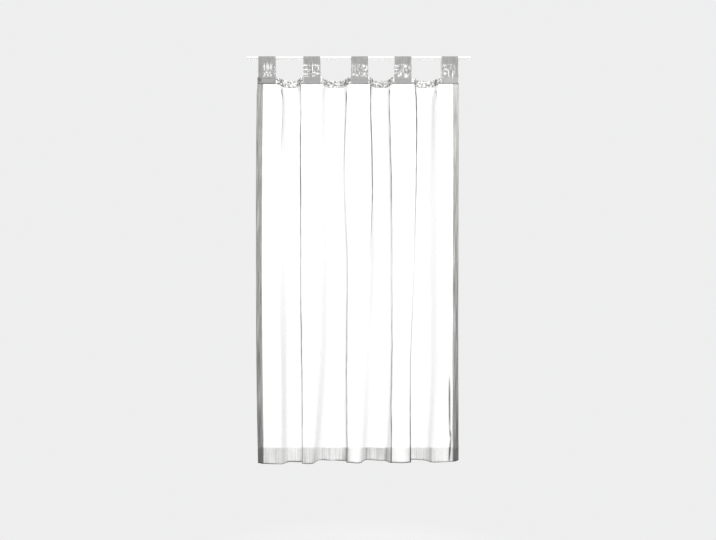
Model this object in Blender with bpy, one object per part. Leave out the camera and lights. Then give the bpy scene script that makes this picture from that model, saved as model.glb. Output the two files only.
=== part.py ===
"""Cafe curtain on its rod: one thin voile panel, a sewn heading strip and five tabs over a plain rod.

Metres, +Z up. X runs along the rod, -Y faces the room. The origin is the centre of the rod's left end.
"""

import math
from collections import namedtuple

import bmesh
import bpy
from mathutils import Matrix, Vector

# Rod
ROD_LENGTH = 0.706
ROD_RADIUS = 0.004
ROD_CHAMFER = 0.0004
ROD_SIDES = 32

# Seat between pieces that touch
GAP = 0.0003

# Tabs: a doubled strap over the rod, its ends sewn to both faces of the heading
TAB_THICKNESS = 0.0012
TAB_END = -0.0815
TAB_FREE_ABOVE = 0.002
TAB_ARC_STEPS = 12
TAB_LEG_STEPS = 6
TAB_SEWN_STEPS = 2
TAB_COLUMNS = 4

# Heading: a straight strip that sags a little between the tabs
HEADING_TOP = -0.060
HEADING_BOTTOM = -0.082
HEADING_THICKNESS = 0.0020
HEADING_SAG = 0.0035
HEADING_ROWS = 2

# Panel: one width of cloth with turned side hems and a bottom hem
CLOTH_THICKNESS = 0.0012
HEM_THICKNESS = 0.0020
SIDE_HEM = 0.014
BOTTOM_HEM = 0.047
PANEL_BOTTOM = -1.274
HEM_STEP = 0.002
HEM_LINES = (SIDE_HEM, SIDE_HEM + HEM_STEP)
HEM_EASE = 0.004
BODY_ROWS = 18
HEM_ROWS = 2

# Heights at which the tables below give the hang of the cloth
LEVELS = (-0.082, -0.122, -0.362, -0.658, -0.961, -1.274)

# The cloth hangs free of the flat heading from this height down
FREE_BELOW = -0.362

# Steps along the width for one bend of a fold and for one stretch of a face
BEND_STEPS = 3
FACE_STEPS = 2

# How far in from its folds a front face is flat, as a share of its width:
# nearly to the folds where a tab is sewn on, and less where the cloth hangs free
FLAT_FROM_AT_TAB = 0.08
FLAT_FROM_BELOW = 0.20

# Edges sharper than this stay crisp
SHARP_ANGLE = math.radians(50)

Tab = namedtuple("Tab", "name left right left_sewn right_sewn bow")
TABS = (
    Tab("tab_1", 0.0380, 0.0922, 0.0375, 0.0925, 0.0008),
    Tab("tab_2", 0.1788, 0.2320, 0.1783, 0.2335, -0.0005),
    Tab("tab_3", 0.3290, 0.3826, 0.3287, 0.3833, 0.0007),
    Tab("tab_4", 0.4650, 0.5203, 0.4642, 0.5212, -0.0004),
    Tab("tab_5", 0.6130, 0.6680, 0.6122, 0.6687, 0.0009),
)

# A face is the cloth between two folds: its distance behind the rod at each level,
# and how far its middle swells forward below the heading
Face = namedtuple("Face", "name depth swell")
FACES = (
    Face("front_1", (0.000, 0.000, -0.002, -0.006, -0.011, -0.016), 0.003),
    Face("back_1", (0.034, 0.034, 0.032, 0.029, 0.027, 0.017), -0.003),
    Face("front_2", (0.000, 0.000, -0.003, -0.006, -0.010, -0.014), 0.003),
    Face("back_2", (0.036, 0.036, 0.037, 0.035, 0.033, 0.030), -0.003),
    Face("front_3", (0.000, 0.000, -0.002, -0.003, -0.003, -0.003), 0.003),
    Face("back_3", (0.034, 0.034, 0.034, 0.033, 0.032, 0.033), -0.002),
    Face("front_4", (0.000, 0.000, -0.001, -0.002, -0.003, -0.003), 0.003),
    Face("back_4", (0.035, 0.035, 0.037, 0.037, 0.036, 0.036), -0.003),
    Face("front_5", (0.000, 0.000, 0.002, 0.004, 0.006, 0.006), 0.002),
)

# A fold joins one face to the next: its place along the rod at each level, and its run,
# the width that it takes up there. A run below nothing is a fold that tucks under itself.
Fold = namedtuple("Fold", "name place run")
FOLDS = (
    Fold("fold_1", (0.1080, 0.117, 0.118, 0.119, 0.118, 0.120), (0.0200, 0.004, 0.026, 0.030, 0.010, 0.010)),
    Fold("fold_2", (0.1645, 0.168, 0.168, 0.170, 0.173, 0.176), (0.0130, -0.002, -0.005, -0.006, -0.007, -0.004)),
    Fold("fold_3", (0.2470, 0.242, 0.246, 0.247, 0.243, 0.219), (0.0140, 0.009, 0.026, 0.024, 0.024, 0.014)),
    Fold("fold_4", (0.3125, 0.312, 0.307, 0.316, 0.313, 0.315), (0.0180, -0.002, -0.005, -0.006, -0.006, -0.004)),
    Fold("fold_5", (0.3970, 0.393, 0.399, 0.399, 0.389, 0.370), (0.0140, -0.002, -0.004, 0.010, 0.030, 0.016)),
    Fold("fold_6", (0.4510, 0.448, 0.454, 0.457, 0.457, 0.446), (0.0140, -0.002, -0.005, -0.007, -0.008, 0.008)),
    Fold("fold_7", (0.5350, 0.537, 0.537, 0.529, 0.518, 0.517), (0.0140, -0.002, -0.005, -0.007, -0.009, -0.010)),
    Fold("fold_8", (0.5988, 0.591, 0.588, 0.588, 0.589, 0.575), (0.0150, 0.004, 0.020, 0.024, 0.020, 0.012)),
)

# The two side edges: place along the rod and distance behind it at each level
Edge = namedtuple("Edge", "place depth")
LEFT_EDGE = Edge((0.0345, 0.0320, 0.0305, 0.0300, 0.0320, 0.0370), (0.000, 0.000, -0.001, -0.003, -0.006, -0.008))
RIGHT_EDGE = Edge((0.6687, 0.6693, 0.669, 0.670, 0.671, 0.672), (0.000, 0.001, 0.006, 0.014, 0.024, 0.030))


def clear_scene():
    for old in list(bpy.data.objects):
        bpy.data.objects.remove(old, do_unlink=True)


def make_material(name, colour, roughness):
    material = bpy.data.materials.new(name)
    material.use_nodes = True
    surface = material.node_tree.nodes["Principled BSDF"]
    surface.inputs["Base Color"].default_value = (*colour, 1.0)
    surface.inputs["Roughness"].default_value = roughness
    surface.inputs["Metallic"].default_value = 0.0
    material.diffuse_color = (*colour, 1.0)
    return material


def add_object(name, mesh, material):
    piece = bpy.data.objects.new(name, mesh)
    piece.data.materials.append(material)
    bpy.context.scene.collection.objects.link(piece)
    return piece


def at_level(values, z):
    """One column of a table, read smoothly between its levels."""
    if z >= LEVELS[0]:
        return values[0]
    if z <= LEVELS[-1]:
        return values[-1]
    last = len(LEVELS) - 1
    low = next(i for i in range(last) if LEVELS[i + 1] <= z)
    span = LEVELS[low + 1] - LEVELS[low]
    t = (z - LEVELS[low]) / span
    before, after = max(low - 1, 0), min(low + 2, last)
    slope_in = (values[low + 1] - values[before]) / (LEVELS[low + 1] - LEVELS[before])
    slope_out = (values[after] - values[low]) / (LEVELS[after] - LEVELS[low])
    return (
        (2 * t**3 - 3 * t**2 + 1) * values[low]
        + (t**3 - 2 * t**2 + t) * span * slope_in
        + (3 * t**2 - 2 * t**3) * values[low + 1]
        + (t**3 - t**2) * span * slope_out
    )


def below_heading(z):
    """Nothing at the heading, whole where the cloth hangs free of it."""
    share = (LEVELS[0] - z) / (LEVELS[0] - FREE_BELOW)
    share = min(max(share, 0.0), 1.0)
    return share * share * (3 - 2 * share)


def face_ends(z):
    """Where each face starts and ends along the rod at one height, with its distance behind it."""
    left = (at_level(LEFT_EDGE.place, z), at_level(LEFT_EDGE.depth, z))
    right = (at_level(RIGHT_EDGE.place, z), at_level(RIGHT_EDGE.depth, z))
    starts, ends = [left], []
    for fold, before, after in zip(FOLDS, FACES, FACES[1:]):
        place, half_run = at_level(fold.place, z), at_level(fold.run, z) / 2
        ends.append((place - half_run, at_level(before.depth, z)))
        starts.append((place + half_run, at_level(after.depth, z)))
    return starts, ends + [right]


def guide_points(z):
    """Guide points of the plan at one height, each with the number of steps that its bend takes."""
    starts, ends = face_ends(z)
    free = below_heading(z)
    inset = FLAT_FROM_AT_TAB + (FLAT_FROM_BELOW - FLAT_FROM_AT_TAB) * free
    points = []
    for face, start, end in zip(FACES, starts, ends):
        depth = at_level(face.depth, z) - face.swell * free
        shares = (inset, 1 - inset) if face.name.startswith("front") else (0.5,)
        points.append((*start, BEND_STEPS))
        for share in shares:
            points.append((start[0] + (end[0] - start[0]) * share, depth, FACE_STEPS))
        points.append((*end, BEND_STEPS))
    return points


def middle(a, b):
    return ((a[0] + b[0]) / 2, (a[1] + b[1]) / 2)


def toward(start, end, distance):
    share = distance / math.dist(start[:2], end[:2])
    return tuple(start[axis] + (end[axis] - start[axis]) * share for axis in (0, 1))


def past_hem(edge, guide):
    """The guide point next to a side edge, kept clear of the edge's flat hem."""
    distance = max(math.dist(edge[:2], guide[:2]), HEM_LINES[-1] + HEM_EASE)
    return (*toward(edge, guide, distance), guide[2])


def plan_curve(z):
    """The plan of the cloth at one height: flat side hems, and one smooth line between them."""
    points = guide_points(z)
    left_hem = [points[0][:2]] + [toward(points[0], points[1], d) for d in HEM_LINES]
    right_hem = [points[-1][:2]] + [toward(points[-1], points[-2], d) for d in HEM_LINES]
    inner = [past_hem(points[0], points[1])] + points[2:-2] + [past_hem(points[-1], points[-2])]
    joints = [left_hem[-1]] + [middle(a, b) for a, b in zip(inner, inner[1:])] + [right_hem[-1]]
    line = left_hem[:]
    for start, guide, end in zip(joints, inner, joints[1:]):
        steps = guide[2]
        for step in range(1, steps + 1):
            t = step / steps
            line.append(tuple(
                (1 - t) ** 2 * start[axis] + 2 * t * (1 - t) * guide[axis] + t**2 * end[axis]
                for axis in (0, 1)
            ))
    return line + right_hem[-2::-1]


def sag_at(depth):
    """How far the strip drops where it swings back between two tabs."""
    deepest = max(face.depth[0] for face in FACES)
    return HEADING_SAG * min(max(depth / deepest, 0.0), 1.0)


def sheet_mesh(name, rows, thickness_at):
    """One closed sheet about rows of points, top row first, as thick as thickness_at(row, column)."""
    last_row, last_column = len(rows) - 1, len(rows[0]) - 1
    bm = bmesh.new()
    sides = ([], [])
    for r, row in enumerate(rows):
        for c, point in enumerate(row):
            across = row[min(c + 1, last_column)] - row[max(c - 1, 0)]
            upward = rows[max(r - 1, 0)][c] - rows[min(r + 1, last_row)][c]
            offset = across.cross(upward).normalized() * thickness_at(r, c) / 2
            sides[0].append(bm.verts.new(point + offset))
            sides[1].append(bm.verts.new(point - offset))
    width = last_column + 1
    for r in range(last_row):
        for c in range(last_column):
            corners = (r * width + c, (r + 1) * width + c, (r + 1) * width + c + 1, r * width + c + 1)
            bm.faces.new([sides[0][i] for i in corners])
            bm.faces.new([sides[1][i] for i in reversed(corners)])
    top = list(range(width))
    right = [r * width + last_column for r in range(1, last_row + 1)]
    bottom = [last_row * width + c for c in range(last_column - 1, -1, -1)]
    left = [r * width for r in range(last_row - 1, 0, -1)]
    rim = top + right + bottom + left
    for a, b in zip(rim, rim[1:] + rim[:1]):
        bm.faces.new((sides[0][a], sides[0][b], sides[1][b], sides[1][a]))
    bmesh.ops.recalc_face_normals(bm, faces=bm.faces)
    return finish_mesh(name, bm)


def finish_mesh(name, bm):
    mesh = bpy.data.meshes.new(name)
    bm.to_mesh(mesh)
    bm.free()
    mesh.shade_smooth()
    mesh.set_sharp_from_angle(angle=SHARP_ANGLE)
    return mesh


def make_rod():
    bm = bmesh.new()
    bmesh.ops.create_cone(
        bm, cap_ends=True, segments=ROD_SIDES, radius1=ROD_RADIUS, radius2=ROD_RADIUS, depth=ROD_LENGTH
    )
    rims = [edge for edge in bm.edges if abs(edge.verts[0].co.z - edge.verts[1].co.z) < GAP]
    bmesh.ops.bevel(bm, geom=rims, offset=ROD_CHAMFER, segments=1, affect="EDGES")
    lying = Matrix.Rotation(math.pi / 2, 4, "Y")
    bmesh.ops.transform(bm, matrix=Matrix.Translation((ROD_LENGTH / 2, 0, 0)) @ lying, verts=bm.verts)
    return add_object("rod", finish_mesh("rod", bm), make_material("white lacquer", (0.86, 0.86, 0.85), 0.35))


def tab_path():
    """Half of a strap's section, from its sewn end up to the top of the rod, as (y, z) behind it."""
    seat = HEADING_THICKNESS / 2 + GAP + TAB_THICKNESS / 2
    ring = ROD_RADIUS + GAP + TAB_THICKNESS / 2
    free = HEADING_TOP + TAB_FREE_ABOVE
    slope = math.atan2(free, seat) + math.acos(ring / math.hypot(free, seat))
    leaves = (ring * math.cos(slope), ring * math.sin(slope))
    path = [(seat, TAB_END + (free - TAB_END) * i / TAB_SEWN_STEPS, 0.0) for i in range(TAB_SEWN_STEPS)]
    for i in range(TAB_LEG_STEPS):
        t = i / TAB_LEG_STEPS
        path.append((seat + (leaves[0] - seat) * t, free + (leaves[1] - free) * t, math.sin(math.pi * t)))
    for i in range(TAB_ARC_STEPS + 1):
        angle = slope + (math.pi / 2 - slope) * i / TAB_ARC_STEPS
        path.append((ring * math.cos(angle), ring * math.sin(angle), 0.0))
    return path


def make_tab(tab, material):
    """A strap over the rod: its front half from the sewn end up, then its back half down again."""
    behind = tab_path()
    section = [(-y, z, -slack) for y, z, slack in behind] + behind[-2::-1]
    rows = []
    for y, z, slack in section:
        t = max(z, TAB_END) / TAB_END if z < 0 else 0.0
        left = tab.left + (tab.left_sewn - tab.left) * t
        right = tab.right + (tab.right_sewn - tab.right) * t
        row = []
        for c in range(TAB_COLUMNS + 1):
            share = c / TAB_COLUMNS
            bow = tab.bow * slack * math.sin(math.pi * share)
            row.append(Vector((left + (right - left) * share, y + bow, z)))
        rows.append(row)
    rows.reverse()
    return add_object(tab.name, sheet_mesh(tab.name, rows, lambda r, c: TAB_THICKNESS), material)


def make_heading():
    line = plan_curve(LEVELS[0])
    rows = []
    for r in range(HEADING_ROWS + 1):
        level = HEADING_TOP + (HEADING_BOTTOM - HEADING_TOP) * r / HEADING_ROWS
        rows.append([Vector((x, y, level - sag_at(y))) for x, y in line])
    mesh = sheet_mesh("heading", rows, lambda r, c: HEADING_THICKNESS)
    return add_object("heading", mesh, make_material("doubled voile", (0.88, 0.88, 0.86), 0.9))


def panel_levels():
    """Heights of the panel's rows, top first, with a close pair where the bottom hem is turned."""
    top, hem_top = HEADING_BOTTOM - GAP, PANEL_BOTTOM + BOTTOM_HEM
    body = [top + (hem_top + HEM_STEP - top) * i / BODY_ROWS for i in range(BODY_ROWS + 1)]
    hem = [hem_top - BOTTOM_HEM * i / HEM_ROWS for i in range(HEM_ROWS + 1)]
    return body + hem


def make_panel():
    levels = panel_levels()
    sags = [sag_at(y) for x, y in plan_curve(levels[0])]
    rows = []
    for level in levels:
        rows.append([Vector((x, y, level - sag)) for (x, y), sag in zip(plan_curve(level), sags)])
    last_column = len(rows[0]) - 1

    def thickness_at(r, c):
        hemmed = r > BODY_ROWS or min(c, last_column - c) < len(HEM_LINES)
        return HEM_THICKNESS if hemmed else CLOTH_THICKNESS

    mesh = sheet_mesh("panel", rows, thickness_at)
    return add_object("panel", mesh, make_material("white voile", (0.93, 0.93, 0.92), 0.9))


def main():
    clear_scene()
    make_rod()
    tab_cloth = make_material("tab voile", (0.84, 0.84, 0.82), 0.9)
    for tab in TABS:
        make_tab(tab, tab_cloth)
    make_heading()
    make_panel()


main()
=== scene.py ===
import math
import bpy
import numpy as np
from mathutils import Matrix, Vector


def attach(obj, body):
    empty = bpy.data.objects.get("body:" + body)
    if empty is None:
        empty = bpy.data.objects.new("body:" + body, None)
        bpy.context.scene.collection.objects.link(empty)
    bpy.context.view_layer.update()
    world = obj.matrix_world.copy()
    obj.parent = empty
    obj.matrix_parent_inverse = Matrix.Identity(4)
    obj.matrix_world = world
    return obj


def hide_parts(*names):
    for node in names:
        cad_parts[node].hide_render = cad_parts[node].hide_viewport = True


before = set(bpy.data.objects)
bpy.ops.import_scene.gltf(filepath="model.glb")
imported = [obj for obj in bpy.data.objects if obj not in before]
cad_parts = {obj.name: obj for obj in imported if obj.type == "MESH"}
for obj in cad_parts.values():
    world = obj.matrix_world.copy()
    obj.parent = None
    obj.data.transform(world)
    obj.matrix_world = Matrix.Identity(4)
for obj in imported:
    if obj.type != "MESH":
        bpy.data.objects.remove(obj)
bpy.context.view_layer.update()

print("stage: frame loaded")

# camera: the picture's scale and the places of its middle and of the rod's left end, in pixels
picture = {
    "metresPerPixel": 0.00315,
    "width": 716,
    "middle": (358.0, 270.0),
    "rodEnd": (246.5, 58.0),
    "distance": 2.2,
    "sensor": 36.0,
}


def addCamera(view):
    scale = view["metresPerPixel"]
    x = (view["middle"][0] - view["rodEnd"][0]) * scale
    z = (view["rodEnd"][1] - view["middle"][1]) * scale
    bpy.ops.object.camera_add(location=(x, -view["distance"], z), rotation=(math.pi / 2, 0, 0))
    camera = bpy.context.object
    camera.name = "viewCamera"
    camera.data.sensor_width = view["sensor"]
    camera.data.lens = view["distance"] / scale * view["sensor"] / view["width"]
    camera.data.dof.use_dof = False
    bpy.context.scene.camera = camera


addCamera(picture)
print("stage: camera placed")

# the hang of the cloth, the same folds as its solid: places and depths in metres at six heights
levels = (-0.082, -0.122, -0.362, -0.658, -0.961, -1.274)

# the faces between the folds, front and back in turn from the left, and how far each swells towards the room
faces = {
    "depth": (
        (0.000, 0.000, -0.002, -0.006, -0.011, -0.016),
        (0.034, 0.034, 0.032, 0.029, 0.027, 0.017),
        (0.000, 0.000, -0.003, -0.006, -0.010, -0.014),
        (0.036, 0.036, 0.037, 0.035, 0.033, 0.030),
        (0.000, 0.000, -0.002, -0.003, -0.003, -0.003),
        (0.034, 0.034, 0.034, 0.033, 0.032, 0.033),
        (0.000, 0.000, -0.001, -0.002, -0.003, -0.003),
        (0.035, 0.035, 0.037, 0.037, 0.036, 0.036),
        (0.000, 0.000, 0.002, 0.004, 0.006, 0.006),
    ),
    "swell": (0.003, -0.003, 0.003, -0.003, 0.003, -0.002, 0.003, -0.003, 0.002),
}

# each fold's middle, and how far it runs across; below nothing it tucks under itself
folds = {
    "place": (
        (0.1080, 0.117, 0.118, 0.119, 0.118, 0.120),
        (0.1645, 0.168, 0.168, 0.170, 0.173, 0.176),
        (0.2470, 0.242, 0.246, 0.247, 0.243, 0.219),
        (0.3125, 0.312, 0.307, 0.316, 0.313, 0.315),
        (0.3970, 0.393, 0.399, 0.399, 0.389, 0.370),
        (0.4510, 0.448, 0.454, 0.457, 0.457, 0.446),
        (0.5350, 0.537, 0.537, 0.529, 0.518, 0.517),
        (0.5988, 0.591, 0.588, 0.588, 0.589, 0.575),
    ),
    "run": (
        (0.020, 0.004, 0.026, 0.030, 0.010, 0.010),
        (0.013, -0.002, -0.005, -0.006, -0.007, -0.004),
        (0.014, 0.009, 0.026, 0.024, 0.024, 0.014),
        (0.018, -0.002, -0.005, -0.006, -0.006, -0.004),
        (0.014, -0.002, -0.004, 0.010, 0.030, 0.016),
        (0.014, -0.002, -0.005, -0.007, -0.008, 0.008),
        (0.014, -0.002, -0.005, -0.007, -0.009, -0.010),
        (0.015, 0.004, 0.020, 0.024, 0.020, 0.012),
    ),
}
edges = {
    "left": {
        "place": (0.0345, 0.0320, 0.0305, 0.0300, 0.0320, 0.0370),
        "depth": (0.000, 0.000, -0.001, -0.003, -0.006, -0.008),
    },
    "right": {
        "place": (0.6687, 0.6693, 0.669, 0.670, 0.671, 0.672),
        "depth": (0.000, 0.001, 0.006, 0.014, 0.024, 0.030),
    },
}
hang = {
    "flatFromAtTab": 0.08,     # how far in from its folds a front face is flat, at the tabs
    "flatFromBelow": 0.20,     # and where it hangs free
    "freeBelow": -0.362,       # from here down it hangs free of the flat heading
    "flatEdge": 0.016,         # the hem and a little more stay flat
    "pastHem": 0.020,          # the first bend lies this far from a side edge or further
    "sideHem": 0.014,
    "bottomHem": 0.047,
    "headingTop": -0.060,
    "headingBottom": -0.082,
    "bottom": -1.274,
    "sag": 0.0035,             # the heading drops this far between two tabs
    "stepsPerBend": 14,
    "tableRows": 260,
    "tableColumns": 1400,
    "probe": 0.0012,           # share of the width over which the cloth's direction is read
    "rimSmooth": 5,            # rows over which a fold's turn is evened out
    "rimReach": 16,            # columns searched for it on each side
}


def easeInOut(share):
    share = np.clip(share, 0.0, 1.0)
    return share * share * (3 - 2 * share)


def atLevel(values, z):
    z = min(max(z, levels[-1]), levels[0])
    last = len(levels) - 1
    low = next(i for i in range(last) if levels[i + 1] <= z)
    span = levels[low + 1] - levels[low]
    t = (z - levels[low]) / span
    before, after = max(low - 1, 0), min(low + 2, last)
    slopeIn = (values[low + 1] - values[before]) / (levels[low + 1] - levels[before])
    slopeOut = (values[after] - values[low]) / (levels[after] - levels[low])
    return (
        (2 * t**3 - 3 * t**2 + 1) * values[low]
        + (t**3 - 2 * t**2 + t) * span * slopeIn
        + (3 * t**2 - 2 * t**3) * values[low + 1]
        + (t**3 - t**2) * span * slopeOut
    )


def guidePoints(z):
    free = float(easeInOut((levels[0] - z) / (levels[0] - hang["freeBelow"])))
    inset = hang["flatFromAtTab"] + (hang["flatFromBelow"] - hang["flatFromAtTab"]) * free
    left, right = edges["left"], edges["right"]
    start = (atLevel(left["place"], z), atLevel(left["depth"], z))
    points = []
    for number, (depths, swell) in enumerate(zip(faces["depth"], faces["swell"])):
        depth = atLevel(depths, z)
        if number < len(folds["place"]):
            place, half = atLevel(folds["place"][number], z), atLevel(folds["run"][number], z) / 2
            end, following = (place - half, depth), (place + half, atLevel(faces["depth"][number + 1], z))
        else:
            end, following = (atLevel(right["place"], z), atLevel(right["depth"], z)), None
        points.append(start)
        for share in (0.5,) if number % 2 else (inset, 1 - inset):
            points.append((start[0] + (end[0] - start[0]) * share, depth - swell * free))
        points.append(end)
        start = following
    return np.array(points)


def planLine(z):
    # flat side hems, and between them one smooth line that rounds every guide point
    points = guidePoints(z)
    guides, ends = points[1:-1].copy(), []
    for edge, last in ((points[0], 0), (points[-1], -1)):
        inner = guides[last] - edge
        reach = np.linalg.norm(inner)
        ends.append(edge + inner / reach * hang["flatEdge"])
        guides[last] = edge + inner * max(1, hang["pastHem"] / reach)
    joints = np.vstack([ends[0], (guides[:-1] + guides[1:]) / 2, ends[1]])
    t = np.linspace(0, 1, hang["stepsPerBend"], endpoint=False)[:, None]
    bends = [
        (1 - t) ** 2 * start + 2 * t * (1 - t) * guide + t**2 * end
        for start, guide, end in zip(joints, guides, joints[1:])
    ]
    return np.vstack([points[0], *bends, ends[1], points[-1]])


tableLevels = np.linspace(levels[0], levels[-1], hang["tableRows"])


def makeFallTable():
    rows, widths = [], []
    share = np.linspace(0, 1, hang["tableColumns"])
    for z in tableLevels:
        line = planLine(z)
        run = np.concatenate([[0], np.cumsum(np.linalg.norm(np.diff(line, axis=0), axis=1))])
        rows.append([np.interp(share * run[-1], run, line[:, axis]) for axis in (0, 1)])
        widths.append(run[-1])
    return np.array(rows).transpose(0, 2, 1), float(np.mean(widths))


fallTable, clothWidth = makeFallTable()
deepest = max(depths[0] for depths in faces["depth"])
print(f"stage: folds worked out, cloth {clothWidth:.3f} m wide")


def fallAt(share, level):
    # place in plan (x, y) at a share of the cloth's width and a height
    row = np.clip((levels[0] - level) / (levels[0] - levels[-1]), 0, 1) * (hang["tableRows"] - 1)
    column = np.clip(share, 0, 1) * (hang["tableColumns"] - 1)
    r = np.minimum(row.astype(int), hang["tableRows"] - 2)
    c = np.minimum(column.astype(int), hang["tableColumns"] - 2)
    down, across = (row - r)[:, None], (column - c)[:, None]
    upper = fallTable[r, c] * (1 - across) + fallTable[r, c + 1] * across
    lower = fallTable[r + 1, c] * (1 - across) + fallTable[r + 1, c + 1] * across
    return upper * (1 - down) + lower * down


def bell(gap, half):
    return np.exp(-((gap / half) ** 2))


def smoothed(shares, reach):
    count = 2 * reach + 1
    return np.convolve(np.pad(shares, reach, mode="edge"), np.full(count, 1 / count), "valid")


def towardsFront(number):
    # the way along the cloth, and in plan, from a fold to the front face beside it
    return number % 2 * 2 - 1


def findRims():
    # the share of the cloth's width at which each fold turns from its front face, row by row
    last = hang["tableColumns"] - 1
    rims = []
    for number, (places, runs) in enumerate(zip(folds["place"], folds["run"])):
        depths, side = faces["depth"][number + number % 2], towardsFront(number)
        turns = []
        for z, line in zip(tableLevels, fallTable):
            run = atLevel(runs, z)
            corner = (atLevel(places, z) + side * run / 2, atLevel(depths, z))
            turn = np.linalg.norm(line - corner, axis=1).argmin()
            if run < 0:
                near = np.arange(turn - hang["rimReach"], turn + hang["rimReach"])
                turn = near[np.argmin(side * line[near, 0])]
            turns.append(turn / last)
        rims.append(smoothed(np.array(turns), hang["rimSmooth"]))
    return np.array(rims)


def findShadeLines():
    # the shade runs just in from each turn, on the front face, and begins at the heading at a given place:
    # where it lies along the cloth, and its place along the rod
    atTop = easeInOut((tableLevels - levels[1]) / (levels[0] - levels[1]))
    lines, places = [], []
    for number, (rim, start, inward) in enumerate(zip(rims, foldShades["starts"], foldShades["inward"])):
        top = np.linalg.norm(fallTable[0] - (start, foldShades["startDepth"]), axis=1).argmin()
        lines.append(rim + (top / (hang["tableColumns"] - 1) - rim) * atTop)
        place = fallAt(rim, tableLevels)[:, 0] + towardsFront(number) * inward
        places.append(place + (start - place) * atTop)
    return np.array(lines), np.array(places)


def rimAt(number, level, table=None):
    table = rims if table is None else table
    return np.interp(-level, -tableLevels, table[number])


def softNoise(x, y, seed):
    lattice = np.random.default_rng(seed).uniform(-1, 1, (64, 64))
    column, row = np.floor(x).astype(int), np.floor(y).astype(int)
    across, down = easeInOut(x - column), easeInOut(y - row)
    corner = lambda r, c: lattice[(row + r) % 64, (column + c) % 64]
    upper = corner(0, 0) * (1 - across) + corner(0, 1) * across
    lower = corner(1, 0) * (1 - across) + corner(1, 1) * across
    return upper * (1 - down) + lower * down


# small waves of the cloth, on top of its folds: height, size across, size down
waves = {
    "long": (0.0015, 0.034, 0.36, 11),
    "fine": (0.0004, 0.012, 0.11, 12),
    "gathers": (0.0008, 0.0085, 0.045, 13),
    "gathersReach": 0.055,
    "pucker": (0.0005, 0.012, 0.012, 14),
    "puckerReach": 0.010,
    "foot": (0.0013, 0.030, 1.0, 15),
    "footReach": 0.030,
    "calmAtHeading": 0.20,     # the share of the long and fine waves that is left at the heading
    "calmReach": 0.12,
}

# creases, given one by one: share of the width and height at each end, half width, depth of the trough, shade
creases = (
    (0.073, -0.085, 0.088, -0.205, 0.0045, 0.0014, 0.0),
    (0.229, -0.085, 0.219, -0.240, 0.0050, 0.0016, 0.0),
    (0.300, -0.085, 0.308, -0.190, 0.0040, 0.0012, 0.0),
    (0.464, -0.085, 0.449, -0.225, 0.0050, 0.0016, 0.0),
    (0.536, -0.085, 0.546, -0.180, 0.0040, 0.0012, 0.0),
    (0.687, -0.085, 0.674, -0.215, 0.0045, 0.0014, 0.0),
    (0.762, -0.085, 0.776, -0.250, 0.0050, 0.0015, 0.0),
    (0.924, -0.085, 0.908, -0.200, 0.0045, 0.0013, 0.0),
    (0.052, -0.520, 0.064, -0.900, 0.0080, 0.0014, 0.0),
    (0.262, -0.430, 0.251, -0.760, 0.0080, 0.0012, 0.0),
    (0.505, -0.560, 0.489, -0.950, 0.0070, -0.0012, 0.0),
    (0.722, -0.380, 0.733, -0.690, 0.0070, 0.0012, 0.0),
    # these three carry painted shade: a dark line painted on the cloth along the crease
    (0.9535, -1.000, 0.9525, -1.185, 0.0028, 0.0018, 1.2),
    (0.9520, -1.165, 0.9580, -1.205, 0.0026, 0.0014, 1.2),
    (0.9580, -1.190, 0.9480, -1.275, 0.0028, 0.0014, 1.1),
    (0.030, -1.120, 0.022, -1.268, 0.0050, 0.0014, 0.0),
)


def wave(name, across, down):
    height, wide, tall, seed = waves[name]
    return height * softNoise(across / wide, down / tall, seed)


def creaseMark(crease, across, level):
    # whole along the crease's middle, fading to its sides and its ends
    share0, z0, share1, z1, half = crease[:5]
    run, rise = (share1 - share0) * clothWidth, z1 - z0
    beside, above = across - share0 * clothWidth, level - z0
    t = np.clip((beside * run + above * rise) / (run**2 + rise**2), 0, 1)
    gap = np.hypot(beside - t * run, above - t * rise)
    return bell(gap, half) * np.sin(np.pi * np.clip(t, 0.02, 0.98)) ** 0.5


# painted shade along each fold's edge: how dark it stands against the light, at the six heights, and where it
# lies
foldShades = {
    "strength": (
        (1.45, 1.15, 0.00, 0.00, 0.08, 0.10),
        (0.90, 0.75, 1.40, 0.50, 1.00, 0.45),
        (0.00, 0.00, 0.00, 0.05, 0.03, 0.00),
        (1.40, 1.20, 0.20, 0.50, 0.80, 0.75),
        (1.60, 1.30, 1.40, 0.10, 0.00, 0.06),
        (1.50, 0.95, 0.95, 0.30, 0.65, 1.00),
        (1.00, 1.40, 0.90, 0.20, 0.60, 1.60),
        (0.90, 0.60, 0.00, 0.00, 0.10, 0.02),
    ),
    "starts": (0.1130, 0.1685, 0.2400, 0.3080, 0.3920, 0.4475, 0.5330, 0.5900),     # place at the heading
    "startDepth": 0.015,
    "inward": (-0.003, 0.0028, 0.0028, 0.0028, 0.0028, 0.0028, 0.0028, 0.0028),     # in from the fold
    "half": 0.0018,            # half its width
    "reach": 0.018,            # it fades out this far along the front face
    "reachBehind": 0.0048,     # and this far round the fold
    "uneven": 0.22,
    "unevenSize": 0.022,
    "sway": 0.0009,
    "swaySize": 0.045,
}
rims = findRims()
shadeLines, shadePlaces = findShadeLines()


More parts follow.
